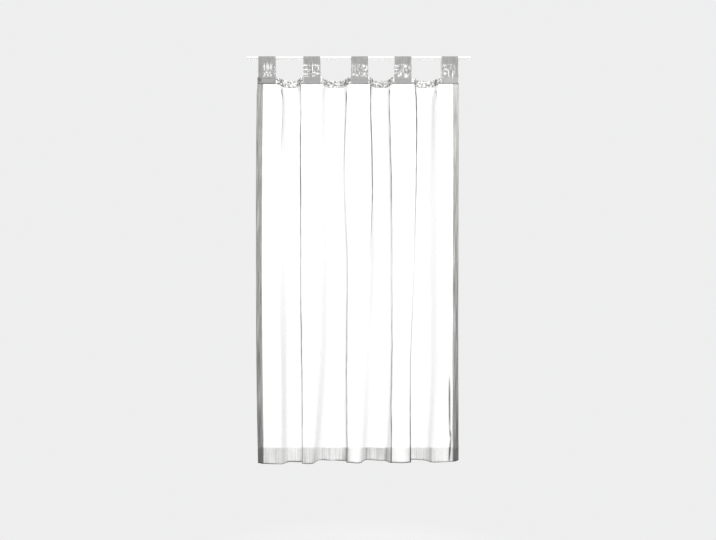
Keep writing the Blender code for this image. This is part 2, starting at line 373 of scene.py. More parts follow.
# painted shade: a dark line painted on the cloth along each fold's edge, and along the creases that carry a
# shade
def shadeAt(share, level):
    cut, shade = foldShades, np.zeros_like(level)
    places = fallAt(share, level)[:, 0]
    for number, strength in enumerate(cut["strength"]):
        sway = cut["sway"] * softNoise(level / cut["swaySize"] + 40, 0 * level + number * 5, 33)
        gap = places - rimAt(number, level, shadePlaces) + sway
        along = (share - rimAt(number, level, shadeLines)) * clothWidth
        broken = cut["uneven"] * softNoise(level / cut["unevenSize"] + 40, 0 * level + number * 3, 31)
        edge = np.interp(-level, -np.array(levels), strength) * (1 + broken)
        reach = np.where(along * towardsFront(number) > 0, cut["reach"], cut["reachBehind"])
        near = np.exp(-((along / reach) ** 4))
        shade = np.maximum(shade, edge * near * bell(gap, cut["half"]))
    for crease in creases:
        if crease[6]:
            shade = np.maximum(shade, crease[6] * creaseMark(crease, share * clothWidth, level))
    return np.clip(shade, 0, 1)


# the turned sides, their widths and their tones of painted shade at the six heights, and the bottom hem
turned = {
    "left": (0.0205, 0.0200, 0.0200, 0.0205, 0.0215, 0.0230),
    "right": (0.0200, 0.0190, 0.0190, 0.0235, 0.0285, 0.0315),
    "leftDark": (0.00, 0.00, 0.00, 0.00, 0.05, 0.38),
    "rightDark": (0.00, 0.00, 0.00, 0.00, 0.05, 0.42),
    "leftPale": (0.95, 0.97, 1.00, 1.00, 1.00, 1.00),
    "rightPale": (0.66, 0.74, 0.90, 0.92, 0.95, 1.00),
    "edgeLines": (0.00, 0.00, 0.00, 0.10, 0.35, 0.42),
    "stitchLines": 0.42,
    "lineHalf": 0.0012,
    "lineUneven": 0.4,
    "lineSize": 0.018,         # the lines are uneven over about this length
    "soft": 0.0010,
    "hemRise": 0.254,          # how much shallower the bottom hem is for each metre that the cloth lies back
    "hem": 0.44,               # how grey its painted shade is
    "foot": 1.00,              # and how dark the painted shade along its folded edge
    "footHalf": 0.0028,
    "footMean": 0.7,
    "footUneven": 0.5,
    "footSize": 0.024,
    "patches": (               # places of more and less painted shade in it: place, half width, strength
        (0.058, 0.010, 0.20), (0.100, 0.009, 0.16), (0.121, 0.009, -0.16), (0.150, 0.024, -0.06),
        (0.1865, 0.0040, 0.30), (0.205, 0.010, 0.14), (0.2225, 0.0085, -0.18), (0.2426, 0.0050, 0.34),
        (0.2567, 0.0036, 0.30), (0.285, 0.014, -0.06), (0.3134, 0.008, 0.42), (0.345, 0.018, -0.42),
        (0.378, 0.0030, 0.35), (0.388, 0.008, 0.26), (0.4205, 0.014, 0.36), (0.4426, 0.006, 0.42),
        (0.484, 0.028, -0.36), (0.5497, 0.022, 0.18), (0.5812, 0.0034, 0.32), (0.612, 0.022, -0.16),
        (0.638, 0.020, -0.10), (0.640, 0.006, 0.20),
    ),
}


def sagAt(share):
    # how far the cloth drops with its heading, at a share of its width
    return hang["sag"] * np.clip(fallAt(share, np.full_like(share, levels[0]))[:, 1] / deepest, 0, 1)


def hemDepth(share):
    # the bottom hem is a little shallower where the cloth lies further back
    back = fallAt(share, np.full_like(share, hang["bottom"] + hang["bottomHem"]))[:, 1]
    return hang["bottomHem"] - turned["hemRise"] * back + sagAt(share)


def turnedWidth(side, level):
    return np.interp(-level, -np.array(levels), turned[side])


def turnedAt(share, level):
    # painted shade, whole on the turned sides, paler towards the top
    across = share * clothWidth
    left = np.clip(0.5 + (turnedWidth("left", level) - across) / turned["soft"], 0, 1)
    right = np.clip(0.5 + (turnedWidth("right", level) - (clothWidth - across)) / turned["soft"], 0, 1)
    return np.maximum(left * turnedWidth("leftPale", level), right * turnedWidth("rightPale", level))


def sideShadeAt(share, level):
    # painted shade: the turned sides are darker low down and along their edges and their stitching
    shade = np.zeros_like(level)
    for side, across in (("left", share * clothWidth), ("right", (1 - share) * clothWidth)):
        width = turnedWidth(side, level)
        inside = np.clip(0.5 + (width - across) / turned["soft"], 0, 1)
        shade = np.maximum(shade, inside * turnedWidth(side + "Dark", level))
        broken = 1 + turned["lineUneven"] * softNoise(level / turned["lineSize"] + 20, 0 * level + 7, 35)
        half = turned["lineHalf"]
        lines = ((half, turnedWidth("edgeLines", level)), (width - half, turned["stitchLines"]))
        for place, strength in lines:
            shade = np.maximum(shade, strength * broken * bell(across - place, half))
    foot = bell(level - hang["bottom"], turned["footHalf"])
    uneven = turned["footUneven"] * softNoise(share * clothWidth / turned["footSize"], 0 * level + 3, 36)
    uneven += turned["footMean"]
    return np.clip(np.maximum(shade, turned["foot"] * uneven * foot), 0, 1)


def hemAt(share, place, level):
    # how grey the bottom hem's painted shade is at a place along the rod
    inside = np.clip(0.5 + (hang["bottom"] + hemDepth(share) - level) / turned["soft"], 0, 1)
    grey = np.full_like(level, turned["hem"])
    for middle, half, strength in turned["patches"]:
        grey += strength * bell(place - middle, half)
    return inside * np.clip(grey, 0, 1)


def reliefAt(share, level):
    across, down = share * clothWidth, -level
    below = levels[0] - level
    calm = waves["calmAtHeading"]
    free = calm + (1 - calm) * easeInOut(below / waves["calmReach"])
    relief = (wave("long", across, down) + wave("fine", across, down)) * free
    fading = np.exp(-np.maximum(below, 0) / waves["gathersReach"]) * (below > 0)
    relief += wave("gathers", across, down) * fading
    fromSide = np.minimum(share, 1 - share) * clothWidth - hang["sideHem"]
    fromHem = level - hang["bottom"] - hemDepth(share)
    for distance in (fromSide, fromHem):
        relief += wave("pucker", across, down) * bell(distance, waves["puckerReach"])
    for crease in creases:
        relief -= crease[5] * creaseMark(crease, across, level)
    return relief


def clothAt(share, level, lift, relief=1.0):
    # a point of the hanging cloth, lifted towards the room by so much
    here = fallAt(share, level)
    along = fallAt(share + hang["probe"], level) - fallAt(share - hang["probe"], level)
    out = np.stack([along[:, 1], -along[:, 0]], axis=1)
    out /= np.linalg.norm(out, axis=1)[:, None]
    place = here + out * (lift + relief * reliefAt(share, level))[:, None]
    fading = np.exp(-np.clip(level - hang["bottom"], 0, 1) / waves["footReach"])
    foot = wave("foot", share * clothWidth, 0 * level) * fading
    return np.column_stack([place, level - sagAt(share) + foot])


def deselect():
    bpy.ops.object.select_all(action="DESELECT")


def addSheet(name, columns, rows, shape):
    # a grid whose points go where shape puts them, with a UV map in metres of flat cloth, and its marks
    deselect()
    bpy.ops.mesh.primitive_grid_add(x_subdivisions=columns, y_subdivisions=rows, size=2)
    piece = bpy.context.object
    piece.name = piece.data.name = name
    mesh = piece.data
    places = np.zeros(len(mesh.vertices) * 3, np.float32)
    mesh.vertices.foreach_get("co", places)
    points, flat, marks = shape((places[0::3].astype(float) + 1) / 2, (1 - places[1::3].astype(float)) / 2)
    corners = np.zeros(len(mesh.loops), np.int32)
    mesh.loops.foreach_get("vertex_index", corners)
    mesh.uv_layers[0].data.foreach_set("uv", np.column_stack(flat)[corners].astype(np.float32).ravel())
    for label, values in marks.items():
        mark = mesh.attributes.new(label, "FLOAT", "POINT")
        mark.data.foreach_set("value", values.astype(np.float32))
    mesh.vertices.foreach_set("co", points.astype(np.float32).ravel())
    mesh.update()
    bpy.ops.object.shade_smooth()
    return piece


def closeSeams(piece, outside=True):
    deselect()
    piece.select_set(True)
    bpy.context.view_layer.objects.active = piece
    bpy.ops.object.mode_set(mode="EDIT")
    bpy.ops.mesh.select_all(action="SELECT")
    bpy.ops.mesh.remove_doubles(threshold=0.00002)
    if outside:
        bpy.ops.mesh.normals_make_consistent(inside=False)
    bpy.ops.object.mode_set(mode="OBJECT")


def joinPieces(first, *others):
    deselect()
    for piece in (first, *others):
        piece.select_set(True)
    bpy.context.view_layer.objects.active = first
    bpy.ops.object.join()
    return first


# the cloth: one width, its sides and bottom turned to the back
panelCut = {
    "columns": 420,
    "rows": 200,
    "gather": 0.6,                              # how far the columns draw together at the folds
    "rowShares": (0.0, 0.14, 0.86, 1.0),        # the rows lie closer at the top and in the bottom hem
    "rowLevels": (-0.077, -0.140, -1.200, -1.274),
    "hemColumns": 7,
    "hemRows": 12,
    "hemLift": 0.0007,                          # how far the turned cloth stands off in the middle of a hem
    "hemSeat": 0.0003,                          # and at its stitches
}


def hemLift(share):
    # none at the folded edge, most in the middle of the hem, pressed down at the stitches
    return -panelCut["hemSeat"] * easeInOut(share * 4) - panelCut["hemLift"] * np.sin(np.pi * share) ** 0.8


def tucked(level):
    # the side hems run down inside the bottom hem, pressed flat there
    above = level - hang["bottom"]
    return 0.4 * easeInOut(above / 0.02) + 0.6 * easeInOut((above - hang["bottomHem"]) / 0.01)


def makePanel(cut):
    def rowLevel(down):
        return np.interp(down, cut["rowShares"], cut["rowLevels"])

    def shareOf(across, level):
        turns = [rimAt(number, level) for number in range(len(rims))]
        knots = np.array([np.zeros_like(level), *turns, np.ones_like(level)])
        at = across * (len(knots) - 1)
        low = np.minimum(at.astype(int), len(knots) - 2)
        t = at - low
        t = t - cut["gather"] * np.sin(2 * np.pi * t) / (2 * np.pi)
        each = np.arange(len(level))
        return knots[low, each] * (1 - t) + knots[low + 1, each] * t

    def sheetOf(share, level, lift):
        points = clothAt(share, level, lift)
        marks = {
            "foldShade": np.maximum(shadeAt(share, level), sideShadeAt(share, level)),
            "turnedSide": turnedAt(share, level),
            "turnedHem": hemAt(share, points[:, 0], level),
        }
        return points, (share * clothWidth, level), marks

    def body(across, down):
        level = rowLevel(down)
        return sheetOf(shareOf(across, level), level, np.zeros_like(across))

    def leftHem(across, down):
        level = rowLevel(down)
        share = (1 - across) * turnedWidth("left", level) / clothWidth
        return sheetOf(share, level, hemLift(1 - across) * tucked(level))

    def rightHem(across, down):
        level = rowLevel(down)
        share = 1 - across * turnedWidth("right", level) / clothWidth
        return sheetOf(share, level, hemLift(across) * tucked(level))

    def bottomHem(across, down):
        share = shareOf(across, np.full_like(across, hang["bottom"]))
        return sheetOf(share, hang["bottom"] + down * hemDepth(share), 1.5 * hemLift(down))

    panel = addSheet("voilePanel", cut["columns"], cut["rows"], body)
    left = addSheet("leftHem", cut["hemColumns"], cut["rows"], leftHem)
    right = addSheet("rightHem", cut["hemColumns"], cut["rows"], rightHem)
    bottom = addSheet("bottomHem", cut["columns"], cut["hemRows"], bottomHem)
    joinPieces(panel, left, right, bottom)
    closeSeams(panel, outside=False)
    return panel


# the heading: a doubled strip round the cloth's top edge
headingCut = {
    "columns": 520,
    "faceRows": 10,
    "edgeRows": 2,
    "half": 0.0009,
    "relief": 0.35,
    "pinch": 0.004,
    "knots": (0.75, 0.85, 0.55, 0.95, 1.00, 0.75, 0.95, 1.00),     # how dark the painted shade is where it is gathered at each fold
    "knotHalf": 0.0055,
    "dimBays": ((0.280, 0.040, 0.20), (0.425, 0.036, 0.26)),        # painted shade: middle, half width, how much greyer
}


def flatTube(around, faceRows, edgeRows):
    # round a flat tube: how far along its face (0 to 1 and back), and which side (1 front, -1 back)
    rows = 2 * (faceRows + edgeRows)
    at = around * rows
    along = np.interp(at, [0, faceRows, faceRows + edgeRows, rows - edgeRows, rows], [0, 1, 1, 0, 0])
    side = np.interp(at, [0, faceRows, faceRows + edgeRows, rows - edgeRows, rows], [1, 1, -1, -1, 1])
    return along, side


def makeHeading(cut):
    depth = hang["headingTop"] - hang["headingBottom"]

    def shape(across, down):
        along, side = flatTube(down, cut["faceRows"], cut["edgeRows"])
        soft = np.sqrt(np.clip(np.sin(np.pi * np.clip(along, 0.02, 0.98)) * 3, 0, 1))
        fromEnd = np.minimum(across, 1 - across) * clothWidth
        lift = side * cut["half"] * soft * easeInOut(fromEnd / cut["pinch"])
        level = hang["headingTop"] - along * depth
        knots = np.zeros_like(level)
        for number, strength in enumerate(cut["knots"]):
            gap = (across - rimAt(number, level, shadeLines)) * clothWidth
            knots = np.maximum(knots, strength * bell(gap, cut["knotHalf"]))
        points = clothAt(across, level, lift, cut["relief"])
        # painted shade: two bays of the heading are greyer
        dim = np.zeros_like(level)
        for middle, half, strength in cut["dimBays"]:
            dim += strength * bell(points[:, 0] - middle, half)
        return points, (across * clothWidth, -down * 2 * depth), {"gatheredShade": knots, "paintedLightShade": -dim}

    rows = 2 * (cut["faceRows"] + cut["edgeRows"])
    heading = addSheet("headingBand", cut["columns"], rows, shape)
    closeSeams(heading)
    return heading


# the tabs: doubled straps, left and right edge at the rod and where they are sewn on, how light the painted
# highlight along those edges is, and strokes of painted light where light from behind shines through the two
# layers (painted shade where negative): place from the left edge, height, half width, half height, strength
tabs = (
    {
        "name": "tabStrap1", "node": "tab_1",
        "top": (0.0380, 0.0922), "sewn": (0.0375, 0.0925),
        "crease": 0.62, "edgeLights": (0.0, 0.4),
        "lightAndShadeStrokes": (
            (0.0185, -0.029, 0.0014, 0.0085, 1.0), (0.0272, -0.028, 0.0015, 0.0095, 1.0),
            (0.0318, -0.030, 0.0013, 0.0080, 0.9), (0.0392, -0.029, 0.0017, 0.0085, 1.0),
            (0.0205, -0.051, 0.0022, 0.0030, 0.8), (0.0268, -0.046, 0.0030, 0.0018, 0.9),
            (0.0300, -0.054, 0.0016, 0.0036, 1.0), (0.0360, -0.047, 0.0020, 0.0030, 0.9),
            (0.0400, -0.054, 0.0026, 0.0020, 0.8), (0.0170, -0.058, 0.0014, 0.0024, 0.6),
            (0.0035, -0.0700, 0.0060, 0.0075, -0.9), (0.0310, -0.0797, 0.0230, 0.0013, -0.8),
            (0.0300, -0.0645, 0.0220, 0.0012, -0.5), (0.0515, -0.0720, 0.0016, 0.0070, -0.5),
        ),
    },
    {
        "name": "tabStrap2", "node": "tab_2",
        "top": (0.1788, 0.2320), "sewn": (0.1783, 0.2335),
        "crease": 0.42, "edgeLights": (0.5, 0.0),
        "lightAndShadeStrokes": (
            (0.0070, -0.024, 0.0072, 0.0016, 1.0), (0.0085, -0.037, 0.0075, 0.0018, 1.0),
            (0.0070, -0.051, 0.0070, 0.0020, 0.9), (0.0090, -0.058, 0.0062, 0.0012, 0.7),
            (0.0290, -0.032, 0.0016, 0.0110, 1.0), (0.0400, -0.024, 0.0070, 0.0016, 0.9),
            (0.0480, -0.033, 0.0020, 0.0060, 0.8), (0.0345, -0.047, 0.0050, 0.0018, 0.9),
            (0.0455, -0.050, 0.0046, 0.0024, 1.0), (0.0310, -0.057, 0.0042, 0.0016, 0.8),
            (0.0250, -0.040, 0.0012, 0.0200, -1.0),
        ),
    },
    {
        "name": "tabStrap3", "node": "tab_3",
        "top": (0.3290, 0.3826), "sewn": (0.3287, 0.3833),
        "crease": 0.70, "edgeLights": (0.3, 0.0),
        "lightAndShadeStrokes": (
            (0.0055, -0.036, 0.0013, 0.0120, 0.45), (0.0125, -0.038, 0.0012, 0.0100, 0.40),
            (0.0200, -0.033, 0.0014, 0.0080, 0.35), (0.0085, -0.052, 0.0038, 0.0020, 0.8),
            (0.0190, -0.055, 0.0040, 0.0018, 0.9), (0.0265, -0.048, 0.0018, 0.0040, 0.6),
            (0.0400, -0.026, 0.0034, 0.0034, 1.0), (0.0455, -0.038, 0.0040, 0.0022, 0.8),
            (0.0490, -0.030, 0.0018, 0.0060, 0.7), (0.0430, -0.050, 0.0034, 0.0036, 0.8),
            (0.0330, -0.056, 0.0024, 0.0020, 0.5), (0.0480, -0.058, 0.0022, 0.0022, 0.6),
        ),
    },
    {
        "name": "tabStrap4", "node": "tab_4",
        "top": (0.4650, 0.5203), "sewn": (0.4642, 0.5212),
        "crease": 0.30, "edgeLights": (0.7, 0.7),
        "lightAndShadeStrokes": (
            (0.0080, -0.026, 0.0070, 0.0016, 0.9), (0.0070, -0.037, 0.0066, 0.0015, 0.9),
            (0.0085, -0.048, 0.0050, 0.0014, 0.6), (0.0350, -0.027, 0.0040, 0.0036, 1.0),
            (0.0465, -0.031, 0.0022, 0.0050, 0.5), (0.0150, -0.056, 0.0030, 0.0034, 0.9),
            (0.0215, -0.051, 0.0024, 0.0050, 1.0), (0.0380, -0.057, 0.0050, 0.0046, 1.0),
            (0.0300, -0.042, 0.0020, 0.0030, 0.5), (0.0240, -0.038, 0.0016, 0.0022, 0.5),
        ),
    },
    {
        "name": "tabStrap5", "node": "tab_5",
        "top": (0.6130, 0.6680), "sewn": (0.6122, 0.6687),
        "crease": 0.55, "edgeLights": (0.6, 0.8),
        "lightAndShadeStrokes": (
            (0.0130, -0.024, 0.0044, 0.0018, 0.6), (0.0150, -0.037, 0.0042, 0.0022, 0.8),
            (0.0120, -0.050, 0.0036, 0.0040, 0.9), (0.0235, -0.046, 0.0018, 0.0070, 0.8),
            (0.0250, -0.057, 0.0024, 0.0024, 0.6), (0.0365, -0.053, 0.0016, 0.0080, 1.0),
            (0.0060, -0.060, 0.0022, 0.0018, 0.4), (0.0310, -0.030, 0.0012, 0.0060, 0.4),
            (0.0440, -0.040, 0.0011, 0.0090, 0.4), (0.0330, -0.047, 0.0010, 0.0090, -0.7),
            (0.0275, -0.0710, 0.0260, 0.0090, 0.13),
        ),
    },
)
tabCut = {
    "faceColumns": 48,
    "edgeColumns": 2,
    "rows": 150,
    "half": 0.00042,
    "seat": 0.0016,          # middle of the strap from the heading's middle, where it is sewn on
    "ring": 0.0048,          # and from the rod's middle
    "end": -0.0815,
    "free": -0.058,
    "slackFrom": -0.003,     # the strap is slack from here down to where it is sewn on
    "wrinkles": ((0.0006, 0.011, 0.016, 60), (0.00036, 0.020, 0.006, 80)),     # height, sizes, seed
    "sway": 0.0006,
    "swaySize": 0.014,
    "creaseDepth": 0.0011,
    "creaseHalf": 0.0030,
    "pinch": 0.0015,
    "edgeHalf": 0.0018,
    "edgeSize": 0.012,
    "strokeSpread": (1.10, 1.15),
    "strokePower": 2.6,
}


def tabPath(cut):
    # the strap's middle line from its front end over the rod to its back end, as (y, z)
    seat, ring, free = cut["seat"], cut["ring"], cut["free"]
    slope = math.atan2(free, seat) + math.acos(ring / math.hypot(free, seat))
    turn = np.linspace(slope, math.pi / 2, 24)
    half = [(seat, cut["end"])] + [(seat, free)] + [(ring * math.cos(a), ring * math.sin(a)) for a in turn]
    half = np.array(half)
    path = np.vstack([half * (-1, 1), half[-2::-1]])
    run = np.concatenate([[0], np.cumsum(np.linalg.norm(np.diff(path, axis=0), axis=1))])
    return path, run


def strokesOfLightAndShade(tab, cut, fromLeft, z):
    # painted light strokes above nothing, painted shade strokes below it
    spread, power = cut["strokeSpread"], cut["strokePower"]
    paintedLightShade = np.zeros_like(z)
    for x0, z0, wide, tall, strength in tab["lightAndShadeStrokes"]:
        across = np.abs((fromLeft - x0) / wide / spread[0]) ** power
        paintedLightShade += strength * np.exp(-(across + np.abs((z - z0) / tall / spread[1]) ** power))
    return np.clip(paintedLightShade, -1, 1)


def makeTab(tab, cut, number):
    path, run = tabPath(cut)
    length = run[-1]

    def onPath(at):
        return [np.interp(at, run, path[:, axis]) for axis in (0, 1)]

    def shape(across, down):
        along, side = flatTube(across, cut["faceColumns"], cut["edgeColumns"])
        at = down * length
        y, z = onPath(at)
        step = length / cut["rows"] / 2
        dy, dz = (ahead - behind for ahead, behind in zip(onPath(at + step), onPath(at - step)))
        size = np.hypot(dy, dz)
        outY, outZ = -dz / size, dy / size
        low = np.clip(z / cut["end"], 0, 1)
        left, right = (top + (sewn - top) * low for top, sewn in zip(tab["top"], tab["sewn"]))
        width = right - left
        slack = (z - cut["slackFrom"]) / (cut["free"] - cut["slackFrom"])
        slack = np.clip(np.sin(np.pi * np.clip(slack, 0, 1)), 0, 1)
        swayAt = z / cut["swaySize"] + 30
        leftSway, rightSway = (softNoise(swayAt, 0 * z + row, number + 100) for row in (2, 9))
        x = left + along * width + cut["sway"] * slack * (leftSway * (1 - along) + rightSway * along)
        lift = -cut["creaseDepth"] * bell((along - tab["crease"]) * width, cut["creaseHalf"])
        for height, wide, tall, seed in cut["wrinkles"]:
            lift += height * softNoise(x / wide, at / tall, number + seed)
        fromEnd = np.minimum(at, length - at)
        edgeSoft = np.sqrt(np.clip(np.sin(np.pi * np.clip(along, 0.01, 0.99)) * 5, 0, 1))
        lift = side * cut["half"] * edgeSoft * easeInOut(fromEnd / cut["pinch"]) + lift * slack
        points = np.column_stack([x, y + outY * lift, z + outZ * lift])
        paintedLightShade = strokesOfLightAndShade(tab, cut, along * width, z)
        # a painted highlight along each strap's edges, uneven along its length
        broken = 0.8 + 0.3 * softNoise(z / cut["edgeSize"], 0 * z, number + 60)
        for light, fromEdge in zip(tab["edgeLights"], (along * width, (1 - along) * width)):
            paintedLightShade = paintedLightShade + light * broken * bell(fromEdge, cut["edgeHalf"])
        return points, (across * 2 * width, -at), {"paintedLightShade": np.clip(paintedLightShade, -1, 1), "gatheredShade": 0 * z}

    columns = 2 * (cut["faceColumns"] + cut["edgeColumns"])
    strap = addSheet(tab["name"], columns, cut["rows"], shape)
    closeSeams(strap)
    return strap, length


# the rod: a plain lacquered tube
rodCut = {"name": "rodTube", "length": 0.706, "radius": 0.004, "sides": 64, "rim": 0.0005}


def makeRod(cut):
    deselect()
    bpy.ops.mesh.primitive_cylinder_add(
        vertices=cut["sides"], radius=cut["radius"], depth=cut["length"],
        location=(cut["length"] / 2, 0, 0), rotation=(0, math.pi / 2, 0),
    )
    rod = bpy.context.object
    rod.name = rod.data.name = cut["name"]
    bpy.ops.object.transform_apply(location=True, rotation=True, scale=True)
    bpy.ops.object.mode_set(mode="EDIT")
    bpy.ops.mesh.select_mode(type="FACE")
    bpy.ops.mesh.select_all(action="DESELECT")
    bpy.ops.object.mode_set(mode="OBJECT")
    for face in rod.data.polygons:
        face.select = abs(face.normal.x) > 0.9
    bpy.ops.object.mode_set(mode="EDIT")
    bpy.ops.mesh.bevel(offset=cut["rim"], segments=3)
    bpy.ops.object.mode_set(mode="OBJECT")
    bpy.ops.object.shade_smooth_by_angle(angle=math.radians(40))
    return rod


# stitches: one is modelled, the rest are its copies, set along each seam
stitch = {
    "length": 0.0025,
    "width": 0.00034,
    "thick": 0.00022,
    "pitch": 0.0034,
    "sides": 6,
    "rings": 4,
    "fromSide": 0.0016,                     # how far each seam runs from the edge that it holds
    "fromBottom": 0.0018,
    "fromHeading": 0.0022,
    "sideLifts": (0.00006, -0.00068),       # how far off the cloth it lies, in front and behind
    "bottomLifts": (0.00006, -0.00085),
    "bottomShares": (0.003, 0.998),         # where they begin and end along the cloth
    "headingShares": (0.004, 0.997),
    "tabEnds": (0.0025, 0.002),
    "tabLevels": (-0.0632, -0.0796),
}


def makeStitch(cut):
    deselect()
    bpy.ops.mesh.primitive_uv_sphere_add(segments=cut["sides"], ring_count=cut["rings"], radius=0.5)
    one = bpy.context.object
    one.name = "oneStitch"
    bpy.ops.object.mode_set(mode="EDIT")
    bpy.ops.mesh.select_all(action="SELECT")
    bpy.ops.transform.resize(value=(cut["width"], cut["thick"], cut["length"]), center_override=(0, 0, 0))
    bpy.ops.object.mode_set(mode="OBJECT")
    bpy.ops.object.shade_smooth()
    return one


def sewSeams(name, one, seams):
    # each seam: its points, and how it faces outwards at each
    copies = []
    for points, outward in seams:
        for here, along, out in zip(points, np.gradient(points, axis=0), outward):
            along, out = Vector(along).normalized(), Vector(out).normalized()
            side = along.cross(out).normalized()
            copy = one.copy()
            copy.data = one.data.copy()
            turn = Matrix((side, side.cross(along), along)).transposed()
            copy.matrix_world = Matrix.Translation(here) @ turn.to_4x4()
            bpy.context.collection.objects.link(copy)
            copies.append(copy)
    sewn = joinPieces(*copies)
    bpy.ops.object.transform_apply(location=True, rotation=True, scale=True)
    sewn.name = sewn.data.name = name
    return sewn


def seamAlong(shares, heights, lift, relief=1.0):
    # the points of a seam on the cloth, evenly spaced, and the way out of the cloth there
    shares, heights = np.asarray(shares, float), np.asarray(heights, float)
    points = clothAt(shares, heights, np.full_like(shares, lift), relief)
    further = clothAt(shares, heights, np.full_like(shares, lift + math.copysign(0.0005, lift)), relief)
    return points, further - points


def hemSeams():
    seams = []
    top, hemTop = hang["headingBottom"] - 0.002, hang["bottom"] + hang["bottomHem"]
    heights = np.arange(top, hemTop, -stitch["pitch"])
    left, right = (
        (turnedWidth(side, heights) - stitch["fromSide"]) / clothWidth for side in ("left", "right")
    )
    for shares in (left, 1 - right):
        for lift in stitch["sideLifts"]:
            seams.append(seamAlong(shares, heights, lift))
    shares = np.arange(*stitch["bottomShares"], stitch["pitch"] / clothWidth)
    for lift in stitch["bottomLifts"]:
        seams.append(seamAlong(shares, hang["bottom"] + hemDepth(shares) - stitch["fromBottom"], lift))
    return seams


def headingSeams():
    seams = []
    shares = np.arange(*stitch["headingShares"], stitch["pitch"] / clothWidth)
    places = fallAt(shares, np.full_like(shares, levels[0]))
    bare = np.ones(len(shares), bool)
    for tab in tabs:
        beneath = (places[:, 0] > tab["sewn"][0] - 0.001) & (places[:, 0] < tab["sewn"][1] + 0.001)
        bare &= ~(beneath & (np.abs(places[:, 1]) < 0.004))
    shares = shares[bare]
    inset = stitch["fromHeading"]
    for level in (hang["headingTop"] - inset, hang["headingBottom"] + inset):
        for lift in (headingCut["half"], -headingCut["half"]):
            seams.append(seamAlong(shares, np.full_like(shares, level), lift, headingCut["relief"]))
    return seams


def tabSeams():
    # a line across each strap at the top and the bottom of the heading, front and back
    seams = []
    proud, ends = tabCut["seat"] + tabCut["half"], stitch["tabEnds"]
    for tab in tabs:
        for level in stitch["tabLevels"]:
            xs = np.arange(tab["sewn"][0] + ends[0], tab["sewn"][1] - ends[1], stitch["pitch"])
            for side in (-1, 1):
                points = np.column_stack([xs, np.full_like(xs, side * proud), np.full_like(xs, level)])
                seams.append((points, np.tile((0, side, 0), (len(xs), 1))))
    return seams


# materials
def feed(tree, socket, value):
    # a link where the value comes from another node
    if isinstance(value, bpy.types.NodeSocket):
        tree.links.new(value, socket)
    else:
        socket.default_value = value


def addNode(tree, kind, inputs=(), **settings):
    node = tree.nodes.new(kind)
    for name, value in settings.items():
        setattr(node, name, value)
    for name, value in dict(inputs).items():
        feed(tree, node.inputs[name], value)
    return node


def calc(tree, operation, *values, clamp=False):
    inputs = dict(enumerate(values))
    return addNode(tree, "ShaderNodeMath", inputs, operation=operation, use_clamp=clamp).outputs[0]


def remap(tree, value, low, high, toLow=0.0, toHigh=1.0):
    limits = {"From Min": low, "From Max": high, "To Min": toLow, "To Max": toHigh}
    return addNode(tree, "ShaderNodeMapRange", {"Value": value, **limits}).outputs[0]


def blendColours(tree, share, first, second):
    node = addNode(tree, "ShaderNodeMix", {0: share}, data_type="RGBA")
    for index, colour in ((6, first), (7, second)):
        feed(tree, node.inputs[index], (*colour, 1) if isinstance(colour, tuple) else colour)
    return node.outputs[2]


def addNoise(tree, place, scale, detail):
    return addNode(tree, "ShaderNodeTexNoise", {"Vector": place, "Scale": scale, "Detail": detail}).outputs[0]


def stretchedNoise(tree, place, stretch, detail):
    # fine noise drawn out along an axis
    spread = addNode(tree, "ShaderNodeVectorMath", {0: place, 1: stretch}, operation="MULTIPLY").outputs[0]
    return addNoise(tree, spread, 1.0, detail)


def addBump(tree, height, strength, distance):
    inputs = {"Height": height, "Strength": strength, "Distance": distance}
    return addNode(tree, "ShaderNodeBump", inputs).outputs[0]


def addFace(tree, inputs):
    return addNode(tree, "ShaderNodeBsdfPrincipled", inputs).outputs[0]


def newGroup(name, inputs, outputs):
    tree = bpy.data.node_groups.new(name, "ShaderNodeTree")
    for label, kind, value in inputs:
        socket = tree.interface.new_socket(label, in_out="INPUT", socket_type=kind)
        if value is not None:
            socket.default_value = value
    for label, kind in outputs:
        tree.interface.new_socket(label, in_out="OUTPUT", socket_type=kind)
    return tree, tree.nodes.new("NodeGroupInput").outputs, tree.nodes.new("NodeGroupOutput").inputs


def fillGroup(tree, group, inputs):
    return addNode(tree, "ShaderNodeGroup", inputs, node_tree=group).outputs


def makeWeaveGroup():
    # plain weave read in metres of flat cloth: its height, and its slubs, threads thicker than the rest
    group, given, out = newGroup(
        "voileWeave",
        [("Cloth", "NodeSocketVector", None), ("Pitch", "NodeSocketFloat", 0.0004)],
        [("Height", "NodeSocketFloat"), ("Slubs", "NodeSocketFloat")],
    )
    place = addNode(group, "ShaderNodeSeparateXYZ", {0: given["Cloth"]}).outputs
    turn = calc(group, "DIVIDE", 2 * math.pi, given["Pitch"])
    threads = [calc(group, "SINE", calc(group, "MULTIPLY", place[axis], turn)) for axis in (0, 1)]
    height = calc(group, "MAXIMUM", threads[0], threads[1])
    slubs = []
    for stretch in ((34, 900, 1), (900, 26, 1)):
        slubs.append(remap(group, stretchedNoise(group, given["Cloth"], stretch, 2.0), 0.35, 0.72))
    slub = calc(group, "MULTIPLY", calc(group, "ADD", slubs[0], slubs[1]), 0.5)
    group.links.new(calc(group, "MULTIPLY_ADD", height, 0.5, slub), out["Height"])
    group.links.new(slub, out["Slubs"])
    return group


def makeMottleGroup():
    # soft uneven patches, from none to whole
    group, given, out = newGroup(
        "clothMottle",
        [
            ("Place", "NodeSocketVector", None),
            ("Patch", "NodeSocketFloat", 0.02),
            ("Edge", "NodeSocketFloat", 0.2),
        ],
        [("Mask", "NodeSocketFloat")],
    )
    scale = calc(group, "DIVIDE", 1.0, given["Patch"])
    inputs = {"Vector": given["Place"], "Scale": scale, "Detail": 3.0, "Roughness": 0.55}
    noise = addNode(group, "ShaderNodeTexNoise", inputs).outputs[0]
    low, high = calc(group, "SUBTRACT", 0.5, given["Edge"]), calc(group, "ADD", 0.5, given["Edge"])
    group.links.new(remap(group, noise, low, high), out["Mask"])
    return group


